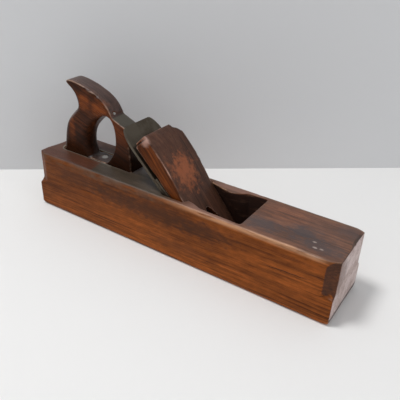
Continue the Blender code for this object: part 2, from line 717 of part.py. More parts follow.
def make_wedge(finish):
    """Tapered between the cap iron and the abutments, forked round the shavings' way out."""
    head = STOCK_HEIGHT + WEDGE_HEAD_HEIGHT
    off = GAP / math.sin(ABUTMENT_ANGLE)
    tip_x, tip_z = wedge_back_at(WEDGE_TIP_UP)
    low_x, low_z = wedge_back_at(WEDGE_TIP_UP + 0.1)
    slope = (low_x - tip_x) / (low_z - tip_z)
    head_back = tip_x + slope * (head - 0.012 - tip_z)
    front_top = abutment_at(head) - off
    free = STOCK_HEIGHT + WEDGE_FLAT_ABOVE
    belly = []
    for k in range(6):
        z = free + (head - free) * k / 6
        belly.append((abutment_at(z) - off + WEDGE_BELLY * math.sin(math.pi * k / 6), z))
    points = [
        (tip_x, tip_z),
        (abutment_at(tip_z + 0.001) - off, tip_z + 0.001),
        *belly,
        (abutment_at(head - WEDGE_HEAD_BEVEL * 1.6) - off, head - WEDGE_HEAD_BEVEL * 1.6),
        (front_top - WEDGE_HEAD_BEVEL * 0.6, head - WEDGE_HEAD_BEVEL * 0.25),
        (front_top - WEDGE_HEAD_BEVEL * 1.5, head),
        (head_back, head - 0.012),
    ]
    wedge = add_part("wedge", side_profile_mesh("wedge", points, IRON_WIDTH), finish)

    # Fork, narrow at its arched top and spreading towards the tips
    face = (Matrix.Translation((ABUTMENT_TOP, 0, STOCK_HEIGHT)) @ Matrix.Rotation(math.pi, 4, "Z")
            @ Matrix.Rotation(-ABUTMENT_ANGLE, 4, "Y"))
    spread = IRON_WIDTH / 2 - WEDGE_LEG_WIDTH
    rise = (TIP_BELOW_TOP - WEDGE_FORK_DEPTH) / 10
    side = [(0.8, 0.20, "s"), (2.4, 0.38, "s"), (6, 0.72, "s"), (10, 1.0, "s"), (20, 1.0, "c")]
    right = [(-WEDGE_FORK_DEPTH - rise * down, -spread * out, kind) for down, out, kind in side]
    left = [(up, -across, kind) for up, across, kind in reversed(right)]
    arch = left + [(-WEDGE_FORK_DEPTH, 0, "s")] + right
    fork = outline_mesh("fork", [arch], 0.10)
    cut(wedge, add_cutter("fork", fork, face))

    # Relief for the nut, running down into the fork
    nut_top = SCREW_UP + NUT_RADIUS + 0.002
    relief = box_mesh("nut relief", (0, -NUT_RADIUS - 0.0015, -0.002),
                      (nut_top, NUT_RADIUS + 0.0015, CAP_TOP + NUT_THICKNESS + 3 * GAP))
    cut(wedge, add_cutter("nut relief", relief, FACE_FRAME))

    # Clipped top corners: the left one is knocked off further than the right
    for name, side, clip in (("left", 1, WEDGE_FAR_CLIP), ("right", -1, WEDGE_NEAR_CLIP)):
        top = (head - STOCK_HEIGHT) / math.sin(ABUTMENT_ANGLE)
        edge = -side * IRON_WIDTH / 2
        outside = edge - side * 0.02
        corner = [(top + 0.02, outside), (top + 0.02, edge + side * clip),
                  (top - 0.001, edge + side * clip),
                  (top - clip * 0.45, edge + side * clip * 0.45),
                  (top - clip * 1.15, edge), (top - clip * 1.15, outside)]
        loop = [(up, across, "c") for up, across in corner]
        clipper = outline_mesh("wedge clip " + name, [loop], 0.12)
        cut(wedge, add_cutter("wedge clip " + name, clipper, face))
    return wedge


def main():
    global PARTS, CUTTERS
    clear_scene()
    PARTS = new_collection("hand plane")
    CUTTERS = new_collection("cutters")
    wood = material("oiled beech", WOOD, 0.45, 0)
    dark_wood = material("handled beech", WOOD_DARK, 0.4, 0)
    steel = material("dull steel", IRON_GREY, 0.5, 1)
    brass = material("old brass", BRASS, 0.4, 1)
    make_stock(wood)
    make_tote(dark_wood)
    make_tote_fixings(steel)
    make_cutting_iron(steel)
    make_cap_iron(steel)
    make_cap_fixings(brass, steel)
    make_wedge(wood)


main()
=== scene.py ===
import itertools
import math

import bmesh
import bpy
import numpy as np
from mathutils import Matrix, Vector


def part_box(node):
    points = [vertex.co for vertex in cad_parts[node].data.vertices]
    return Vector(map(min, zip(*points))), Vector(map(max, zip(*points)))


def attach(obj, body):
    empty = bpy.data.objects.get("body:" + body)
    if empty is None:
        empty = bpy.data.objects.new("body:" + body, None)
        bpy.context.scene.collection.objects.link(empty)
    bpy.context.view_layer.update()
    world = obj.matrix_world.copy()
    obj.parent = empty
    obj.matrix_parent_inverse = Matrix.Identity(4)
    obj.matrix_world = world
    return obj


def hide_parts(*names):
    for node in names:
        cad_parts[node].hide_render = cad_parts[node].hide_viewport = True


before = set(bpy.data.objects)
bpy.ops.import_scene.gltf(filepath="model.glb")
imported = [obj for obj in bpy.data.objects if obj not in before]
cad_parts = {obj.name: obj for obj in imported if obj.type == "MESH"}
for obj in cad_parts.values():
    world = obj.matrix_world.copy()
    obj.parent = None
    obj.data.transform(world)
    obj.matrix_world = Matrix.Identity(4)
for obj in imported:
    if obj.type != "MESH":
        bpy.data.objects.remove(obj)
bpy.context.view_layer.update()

# An old wooden jack plane: worn beech stock, tote and wedge round a grey double iron.
# +X runs to the toe, -Y is the side towards the camera, +Z is up, the sole is on Z = 0.

print("frame loaded")

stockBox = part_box("stock")
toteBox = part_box("tote")
topZ = stockBox[1][2]
toeX = stockBox[1][0]
heelX = stockBox[0][0]
nearY = stockBox[0][1]

meshCare = {
    "joinWithin": 0.00002,
    "flatTurn": 0.4,         # degrees
    "arrisTurn": 35.0,       # degrees
    "arrisSegments": 2,
    "easeShare": 0.5,
    "bendRadius": 0.002,     # an arris as round as this has a bend of about 1
    "bendMost": 3,
    "edgeGain": 1.6,
    "biteGain": 2.5,
    "sharpTurn": 40,         # degrees
}


# helpers that shape meshes

def newObject(name, data):
    made = bpy.data.objects.new(name, data)
    bpy.context.scene.collection.objects.link(made)
    return made


def copyOfNode(nodeName, pieceName):
    # the CAD solid with its loose triangles joined up again
    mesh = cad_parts[nodeName].data.copy()
    mesh.name = pieceName
    mesh.materials.clear()
    bm = bmesh.new()
    bm.from_mesh(mesh)
    bmesh.ops.remove_doubles(bm, verts=bm.verts, dist=meshCare["joinWithin"])
    bmesh.ops.dissolve_limit(bm, angle_limit=math.radians(meshCare["flatTurn"]), verts=bm.verts,
                             edges=bm.edges)
    bm.to_mesh(mesh)
    bm.free()
    for layer in [a.name for a in mesh.attributes if a.name.startswith(("custom", "UV", "sharp"))]:
        mesh.attributes.remove(mesh.attributes[layer])
    return newObject(pieceName, mesh)


def bakedMesh(obj):
    # a new mesh of the object as its modifiers leave it
    bpy.context.view_layer.update()
    graph = bpy.context.evaluated_depsgraph_get()
    return bpy.data.meshes.new_from_object(obj.evaluated_get(graph))


def applyModifiers(obj):
    mesh = bakedMesh(obj)
    obj.modifiers.clear()
    old = obj.data
    obj.data = mesh
    bpy.data.meshes.remove(old)
    mesh.name = obj.name


def remesh(obj, voxel, smoothing):
    # even quads all over, with the arrises eased as hands ease them
    modifier = obj.modifiers.new("voxels", "REMESH")
    modifier.mode = "VOXEL"
    modifier.voxel_size = voxel
    ease = obj.modifiers.new("ease", "SMOOTH")
    ease.factor = meshCare["easeShare"]
    ease.iterations = smoothing
    applyModifiers(obj)


def bevelArrises(obj, width):
    bevel = obj.modifiers.new("arris", "BEVEL")
    bevel.width = width
    bevel.segments = meshCare["arrisSegments"]
    bevel.limit_method = "ANGLE"
    bevel.angle_limit = math.radians(meshCare["arrisTurn"])
    applyModifiers(obj)


def thinOut(obj, mostTriangles):
    triangles = sum(len(p.vertices) - 2 for p in obj.data.polygons)
    if triangles > mostTriangles:
        modifier = obj.modifiers.new("fewer", "DECIMATE")
        modifier.ratio = mostTriangles / triangles
        applyModifiers(obj)


def readPoints(mesh):
    points = np.empty(len(mesh.vertices) * 3)
    mesh.vertices.foreach_get("co", points)
    normals = np.empty(len(mesh.vertices) * 3)
    mesh.vertex_normals.foreach_get("vector", normals)
    return points.reshape(-1, 3), normals.reshape(-1, 3)


def writePoints(mesh, points):
    mesh.vertices.foreach_set("co", points.ravel())
    mesh.update()


def softNoise(points, scale, seed):
    # smooth noise from -1 to 1, scale in lumps a metre along each axis
    cells = 32
    table = np.random.default_rng(seed).uniform(-1, 1, (cells, cells, cells))
    place = points * np.asarray(scale)
    base = np.floor(place).astype(int)
    part = place - base
    part = part * part * (3 - 2 * part)
    total = np.zeros(len(points))
    for corner in itertools.product((0, 1), repeat=3):
        weight = np.ones(len(points))
        for axis in range(3):
            weight *= part[:, axis] if corner[axis] else 1 - part[:, axis]
        cell = (base + corner) % cells
        total += weight * table[cell[:, 0], cell[:, 1], cell[:, 2]]
    return total


def layeredNoise(points, scale, seed, layers):
    total = np.zeros(len(points))
    for layer in range(layers):
        total += softNoise(points, np.asarray(scale) * 2 ** layer, seed + layer) / 2 ** layer
    return total


def meshEdges(mesh):
    edges = np.empty(len(mesh.edges) * 2, dtype=int)
    mesh.edges.foreach_get("vertices", edges)
    return edges.reshape(-1, 2)


def spread(values, edges, rounds):
    # each point takes the mean of itself and its neighbours
    first, second = edges.T
    count = np.bincount(edges.ravel(), minlength=len(values)) + 1
    for _ in range(rounds):
        total = values.copy()
        total += np.bincount(first, values[second], len(values))
        total += np.bincount(second, values[first], len(values))
        values = total / count
    return values


def bendOf(mesh, rounds):
    # above 0 along an outer arris, below 0 in an inner corner
    points, normals = readPoints(mesh)
    edges = meshEdges(mesh)
    first, second = edges.T
    along = points[second] - points[first]
    length = np.maximum(np.linalg.norm(along, axis=1), 1e-6)
    turn = ((normals[second] - normals[first]) * along).sum(1) / length ** 2
    turn = np.clip(turn * meshCare["bendRadius"], -meshCare["bendMost"], meshCare["bendMost"])
    count = np.maximum(np.bincount(edges.ravel(), minlength=len(points)), 1)
    bend = np.bincount(first, turn, len(points)) + np.bincount(second, turn, len(points))
    return spread(bend / count, edges, rounds)


def keepWear(mesh, rounds=1):
    # the wear masks that the materials read
    bend = bendOf(mesh, rounds)
    for name, values in (("edgeWear", bend), ("hollow", -bend)):
        layer = mesh.attributes.get(name) or mesh.attributes.new(name, "FLOAT", "POINT")
        layer.data.foreach_set("value", np.clip(values, 0, 1).astype(np.float32))


def dentBy(points, centre, size, depth, push):
    # a soft hollow: size is its reach along each axis, push the way it sinks
    gap = (points - np.asarray(centre)) / np.asarray(size)
    reach = np.clip(1 - (gap ** 2).sum(1), 0, 1) ** 1.5
    return points + reach[:, None] * depth * np.asarray(push)


def weather(obj, wear):
    # long hollows, nicked arrises and the dents of the wear settings
    mesh = obj.data
    points, normals = readPoints(mesh)
    bend = bendOf(mesh, 1)
    edge = np.clip(bend * meshCare["edgeGain"], 0, 1)
    wave = layeredNoise(points, wear["waveScale"], wear["seed"], 2)
    nick = layeredNoise(points, wear["nickScale"], wear["seed"] + 7, 3)
    bite = np.clip((nick - wear["nickFrom"]) * meshCare["biteGain"], 0, 1) * edge
    move = wear["wave"] * (wave - 1) * 0.5 - wear["nick"] * bite - wear["ease"] * edge
    points = points + normals * move[:, None]
    for centre, size, depth, push in wear["dents"]:
        points = dentBy(points, centre, size, depth, push)
    writePoints(mesh, points)


def finishMesh(obj, bodyName, nodeNames, material, smoothAngle=None):
    mesh = obj.data
    mesh.materials.clear()
    mesh.materials.append(material)
    mesh.shade_smooth()
    if smoothAngle is not None:
        mesh.set_sharp_from_angle(angle=math.radians(smoothAngle))
    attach(obj, bodyName)
    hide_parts(*nodeNames)


# helpers that build node trees

def put(tree, kind, inputs=None, **settings):
    made = tree.nodes.new(kind)
    for key, value in settings.items():
        setattr(made, key, value)
    for key, value in (inputs or {}).items():
        if isinstance(value, bpy.types.NodeSocket):
            tree.links.new(value, made.inputs[key])
        else:
            made.inputs[key].default_value = value
    return made


def calc(tree, operation, first, second=None, clamp=False):
    inputs = {0: first}
    if second is not None:
        inputs[1] = second
    return put(tree, "ShaderNodeMath", inputs, operation=operation, use_clamp=clamp).outputs[0]


def times(tree, first, *others):
    for other in others:
        first = calc(tree, "MULTIPLY", first, other)
    return first


def sumOf(tree, *pairs):
    # each value times its share, added up
    total = calc(tree, "MULTIPLY", *pairs[0])
    for value, share in pairs[1:]:
        total = calc(tree, "ADD", total, calc(tree, "MULTIPLY", value, share))
    return total


def absolute(tree, value):
    return calc(tree, "ABSOLUTE", value)


def without(tree, mask):
    return calc(tree, "SUBTRACT", 1, mask)


def between(tree, value, low, high):
    # 0 at low and under, 1 at high and over, smooth between
    made = put(tree, "ShaderNodeMapRange", {"Value": value, "From Min": low, "From Max": high},
               interpolation_type="SMOOTHSTEP")
    return made.outputs["Result"]


def blendColour(tree, factor, first, second, how="MIX"):
    made = put(tree, "ShaderNodeMix", {0: factor, 6: first, 7: second}, data_type="RGBA",
               blend_type=how)
    return made.outputs[2]


def paint(tree, colour, coat, *masks):
    # the coat covers the colour where all the masks meet
    return blendColour(tree, times(tree, *masks), colour, coat)


def tone(tree, value, low, high, start=0.0, end=1.0):
    # low at the start and high at the end, straight between
    made = put(tree, "ShaderNodeMapRange", {"Value": value, "From Min": start, "From Max": end,
                                            "To Min": low, "To Max": high})
    return made.outputs[0]


def tint(tree, colour, value, *ends):
    return blendColour(tree, 1.0, colour, tone(tree, value, *ends), "MULTIPLY")


def grainNoise(tree, vector, scale, detail=3.0, roughness=0.55, offset=(0, 0, 0)):
    spot = put(tree, "ShaderNodeMapping", {"Vector": vector, "Scale": scale, "Location": offset})
    made = put(tree, "ShaderNodeTexNoise",
               {"Vector": spot.outputs[0], "Scale": 1.0, "Detail": detail, "Roughness": roughness})
    return made.outputs["Fac"]


def newGroup(name, inputs, outputs):
    tree = bpy.data.node_groups.new(name, "ShaderNodeTree")
    for socketName, kind, value in inputs:
        socket = tree.interface.new_socket(socketName, in_out="INPUT", socket_type="NodeSocket" + kind)
        if value is not None:
            socket.default_value = value
    for socketName, kind in outputs:
        tree.interface.new_socket(socketName, in_out="OUTPUT", socket_type="NodeSocket" + kind)
    return tree, tree.nodes.new("NodeGroupInput"), tree.nodes.new("NodeGroupOutput")


def useGroup(tree, group, inputs):
    return put(tree, "ShaderNodeGroup", inputs, node_tree=group)


def rgb(red, green, blue):
    return (red, green, blue, 1.0)


stainShape = {
    "noise": ((110, 190, 190), 5, 0.68),
    "raggedGain": 3.0,
    "fade": (1.25, 0.25),
}


def buildStainSpot(shape):
    # a soft-edged patch round a place, with a ragged outline
    tree, given, out = newGroup(
        "stain spot",
        [("Vector", "Vector", None), ("Centre", "Vector", (0, 0, 0)), ("Reach", "Vector", (1, 1, 1)),
         ("Ragged", "Float", 0.4)],
        [("Mask", "Float")])
    gap = put(tree, "ShaderNodeVectorMath", {0: given.outputs["Vector"], 1: given.outputs["Centre"]},
              operation="SUBTRACT")
    share = put(tree, "ShaderNodeVectorMath", {0: gap.outputs[0], 1: given.outputs["Reach"]},
                operation="DIVIDE")
    length = put(tree, "ShaderNodeVectorMath", {0: share.outputs[0]}, operation="LENGTH")
    ragged = calc(tree, "SUBTRACT", grainNoise(tree, given.outputs["Vector"], *shape["noise"]), 0.5)
    shift = times(tree, ragged, given.outputs["Ragged"], shape["raggedGain"])
    mask = between(tree, calc(tree, "ADD", length.outputs["Value"], shift), *shape["fade"])
    tree.links.new(mask, out.inputs["Mask"])
    return tree


woodShape = {
    # each noise: scale along the grain and both ways across it, detail, roughness, offset
    "noises": {
        "bands": ((4.0, 150, 140), 5, 0.66),
        "strands": ((11, 460, 440), 4, 0.68, (3, 1, 2)),
        "fibres": ((90, 2600, 2400), 2, 0.6, (1, 5, 3)),
        "pores": ((330, 2300, 1500), 2, 0.5, (8, 2, 6)),
        "patches": ((9, 30, 30), 4, 0.6, (4, 9, 1)),
        "lines": ((6.5, 560, 540), 3, 0.62, (9, 4, 1)),
        "mottle": ((70, 230, 230), 5, 0.7, (6, 2, 3)),
        "ragged": ((120, 420, 420), 4, 0.7, (2, 2, 7)),
        "stretches": ((24, 40, 40), 3, 0.6, (5, 7, 3)),
        "dings": ((160, 260, 260), 3, 0.5, (5, 5, 5)),
    },
    "bandShare": 0.40,
    "strandShare": 0.60,
    "streakFade": (0.37, 0.65),
    "cloudFade": (0.35, 0.68),
    "cloudTone": (1.14, 0.72),
    "lineFade": (0.56, 0.68),
    "mottleTone": (1.16, 0.70, 0.35, 0.68),
    "fibreTone": (0.84, 1.14, 0.3, 0.7),
    "poreFade": (0.66, 0.74),
    "poreDark": 0.6,
    "raggedGain": 1.5,
    "raggedShift": -0.15,
    "rubFade": (0.10, 0.60),
    "stretchFade": (0.40, 0.62),
    "cornerShadeFade": (0.04, 0.4),
    "patchDull": 0.22,
    "fibreDull": 0.12,
    "dullMiddle": 0.14,
    "rubDull": 0.1,
    "dingFade": (0.70, 0.78),
    "strandHeight": 0.5,
    "fibreHeight": 0.35,
    "poreHeight": -0.35,
    "dingHeight": -0.8,
    "bump": 0.0003,
}


def buildOldWood(shape):
    # beech with a century of oil: streaks and pores along Vector's x, worn arrises, painted shade in inner
    # corners
    tree, given, out = newGroup(
        "old wood",
        [("Vector", "Vector", None), ("Pale", "Color", rgb(0.2, 0.1, 0.05)),
         ("Deep", "Color", rgb(0.05, 0.02, 0.01)), ("Worn", "Color", rgb(0.4, 0.25, 0.15)),
         ("Grime And Shade", "Color", rgb(0.01, 0.008, 0.006)), ("Streaks", "Float", 0.8),
         ("Wear Amount", "Float", 1.0), ("Corner Shade Amount", "Float", 1.0), ("Gloss", "Float", 0.4),
         ("Relief", "Float", 0.5), ("Lines", "Float", 0.55)],
        [("Color", "Color"), ("Roughness", "Float"), ("Normal", "Vector")])
    given = given.outputs
    noise = {name: grainNoise(tree, given["Vector"], *settings)
             for name, settings in shape["noises"].items()}
    streak = sumOf(tree, (noise["bands"], shape["bandShare"]), (noise["strands"], shape["strandShare"]))
    streak = between(tree, streak, *shape["streakFade"])
    colour = paint(tree, given["Pale"], given["Deep"], streak, given["Streaks"])
    cloud = between(tree, noise["patches"], *shape["cloudFade"])
    colour = tint(tree, colour, cloud, *shape["cloudTone"])
    line = between(tree, noise["lines"], *shape["lineFade"])
    colour = paint(tree, colour, given["Grime And Shade"], line, given["Lines"])
    colour = tint(tree, colour, noise["mottle"], *shape["mottleTone"])
    colour = tint(tree, colour, noise["fibres"], *shape["fibreTone"])
    pore = between(tree, noise["pores"], *shape["poreFade"])
    colour = paint(tree, colour, given["Grime And Shade"], pore, shape["poreDark"])
    # arrises are rubbed in stretches, with a ragged edge
    wear = put(tree, "ShaderNodeAttribute", attribute_name="edgeWear").outputs["Fac"]
    ragged = calc(tree, "MULTIPLY", noise["ragged"], shape["raggedGain"])
    rubbed = times(tree, wear, calc(tree, "ADD", ragged, shape["raggedShift"]))
    rubbed = times(tree, between(tree, rubbed, *shape["rubFade"]),
                   between(tree, noise["stretches"], *shape["stretchFade"]))
    rubbed = calc(tree, "MULTIPLY", rubbed, given["Wear Amount"], clamp=True)
    colour = paint(tree, colour, given["Worn"], rubbed)
    # painted shade: the dark colour fills inner corners, where shade falls
    hollow = put(tree, "ShaderNodeAttribute", attribute_name="hollow").outputs["Fac"]
    cornerShade = between(tree, hollow, *shape["cornerShadeFade"])
    cornerShade = calc(tree, "MULTIPLY", cornerShade, given["Corner Shade Amount"], clamp=True)
    colour = paint(tree, colour, given["Grime And Shade"], cornerShade)
    tree.links.new(colour, out.inputs["Color"])
    dull = sumOf(tree, (noise["patches"], shape["patchDull"]), (noise["fibres"], shape["fibreDull"]))
    rough = calc(tree, "ADD", given["Gloss"], calc(tree, "SUBTRACT", dull, shape["dullMiddle"]))
    rough = calc(tree, "ADD", rough, calc(tree, "MULTIPLY", rubbed, shape["rubDull"]), clamp=True)
    tree.links.new(rough, out.inputs["Roughness"])
    ding = between(tree, noise["dings"], *shape["dingFade"])
    height = sumOf(tree, (noise["strands"], shape["strandHeight"]), (noise["fibres"], shape["fibreHeight"]),
                   (pore, shape["poreHeight"]), (ding, shape["dingHeight"]))
    bump = put(tree, "ShaderNodeBump", {"Height": height, "Strength": given["Relief"],
                                        "Distance": shape["bump"]})
    tree.links.new(bump.outputs[0], out.inputs["Normal"])
    return tree


ironShape = {
    "clouds": ((30, 45, 30), 5, 0.6),
    "specks": ((700, 700, 700), 3, 0.6, (3, 3, 3)),
    "scratches": ((25, 1800, 900), 3, 0.6, (7, 1, 4)),
    "cloudFade": (0.35, 0.65),
    "edgeFade": (0.2, 0.7),
    "edgeBare": 0.6,
    "rustClouds": 0.6,
    "rustSpecks": 0.4,
    "rustFade": (0.50, 0.64),
    "lineFade": (0.60, 0.72),
    "lineBare": 0.35,
    "rustDull": 0.3,
    "cloudDull": 0.25,
    "pitFade": (0.62, 0.74),
    "scratchHeight": 0.4,
    "relief": 0.5,
    "bump": 0.00025,
}


def buildOldIron(shape):
    # grey steel under a thin brown patina, with pits, rubbed edges and lengthwise scratches
    tree, given, out = newGroup(
        "old iron",
        [("Vector", "Vector", None), ("Bare", "Color", rgb(0.2, 0.2, 0.19)),
         ("Patina", "Color", rgb(0.06, 0.05, 0.04)), ("Rust", "Color", rgb(0.09, 0.035, 0.015)),
         ("Rust Amount", "Float", 0.5), ("Gloss", "Float", 0.45)],
        [("Color", "Color"), ("Roughness", "Float"), ("Metallic", "Float"), ("Normal", "Vector")])
    given = given.outputs
    clouds, specks, scratches = [grainNoise(tree, given["Vector"], *shape[name])
                                 for name in ("clouds", "specks", "scratches")]
    colour = paint(tree, given["Bare"], given["Patina"], between(tree, clouds, *shape["cloudFade"]))
    wear = put(tree, "ShaderNodeAttribute", attribute_name="edgeWear").outputs["Fac"]
    colour = paint(tree, colour, given["Bare"], between(tree, wear, *shape["edgeFade"]), shape["edgeBare"])
    rusty = between(tree, sumOf(tree, (clouds, shape["rustClouds"]), (specks, shape["rustSpecks"])),
                    *shape["rustFade"])
    rusty = times(tree, rusty, given["Rust Amount"])
    colour = paint(tree, colour, given["Rust"], rusty)
    lines = between(tree, scratches, *shape["lineFade"])
    colour = paint(tree, colour, given["Bare"], lines, shape["lineBare"])
    tree.links.new(colour, out.inputs["Color"])
    rough = calc(tree, "ADD", given["Gloss"], calc(tree, "MULTIPLY", rusty, shape["rustDull"]))
    cloudy = calc(tree, "MULTIPLY", calc(tree, "SUBTRACT", clouds, 0.5), shape["cloudDull"])
    rough = calc(tree, "ADD", rough, cloudy, clamp=True)
    tree.links.new(rough, out.inputs["Roughness"])
    tree.links.new(calc(tree, "SUBTRACT", 1.0, rusty, clamp=True), out.inputs["Metallic"])
    pits = between(tree, specks, *shape["pitFade"])
    height = calc(tree, "SUBTRACT", calc(tree, "MULTIPLY", scratches, shape["scratchHeight"]), pits)
    bump = put(tree, "ShaderNodeBump", {"Height": height, "Strength": shape["relief"],
                                        "Distance": shape["bump"]})
    tree.links.new(bump.outputs[0], out.inputs["Normal"])
    return tree


stainSpot = buildStainSpot(stainShape)
oldWood = buildOldWood(woodShape)
oldIron = buildOldIron(ironShape)


def newMaterial(name):
    made = bpy.data.materials.new(name)
    made.use_nodes = True
    tree = made.node_tree
    shader = tree.nodes["Principled BSDF"]
    place = put(tree, "ShaderNodeTexCoord")
    return made, tree, shader, place


def joinShader(tree, shader, effect, colour=None):
    for name in ("Roughness", "Normal", "Metallic"):
        if name in effect.outputs:
            tree.links.new(effect.outputs[name], shader.inputs[name])
    tree.links.new(colour or effect.outputs["Color"], shader.inputs["Base Color"])


def alongGrain(tree, place, turn):
    # object coordinates turned so that x runs with the grain
    made = put(tree, "ShaderNodeMapping", {"Vector": place.outputs["Object"], "Rotation": turn})
    return made.outputs[0]


def spotMask(tree, place, centre, reach, ragged):
    made = useGroup(tree, stainSpot, {"Vector": place.outputs["Object"], "Centre": centre,
                                      "Reach": reach, "Ragged": ragged})
    return made.outputs["Mask"]


def surface(tree, place):
    # the coordinates and facings by which marks are placed
    x, y, z = put(tree, "ShaderNodeSeparateXYZ", {0: place.outputs["Object"]}).outputs
    faceX, faceY, faceZ = put(tree, "ShaderNodeSeparateXYZ", {0: place.outputs["Normal"]}).outputs
    return {"x": x, "y": y, "z": z, "faceY": faceY, "faceZ": faceZ, "offMiddle": absolute(tree, y),
            "sideOn": absolute(tree, faceY), "endOn": absolute(tree, faceX)}


def fadeIn(tree, at, look, *names):
    # where all the named fades of the look meet
    fades = [look["fades"][name] for name in names]
    return times(tree, *[between(tree, at[measure], low, high) for measure, low, high in fades])


def grainMask(tree, place, noise, fade):
    return between(tree, grainNoise(tree, place.outputs["Object"], *noise), *fade)


def woodOf(tree, place, look, pale, deep):
    return useGroup(tree, oldWood, {
        "Vector": alongGrain(tree, place, look["grainTurn"]), "Pale": pale, "Deep": deep,
        "Worn": look["worn"], "Grime And Shade": look["grimeAndShade"], **look["wood"]})


def shine(tree, shader, mask, ends):
    tree.links.new(tone(tree, mask, *ends), shader.inputs["Specular IOR Level"])


def makeWooden(node, body, wear, material):
    piece = copyOfNode(node, node + "_worn")
    remesh(piece, wear["voxel"], wear["smoothing"])
    weather(piece, wear)
    keepWear(piece.data)
    thinOut(piece, wear["mostTriangles"])
    finishMesh(piece, body, [node], material)
    print(node, len(piece.data.polygons))


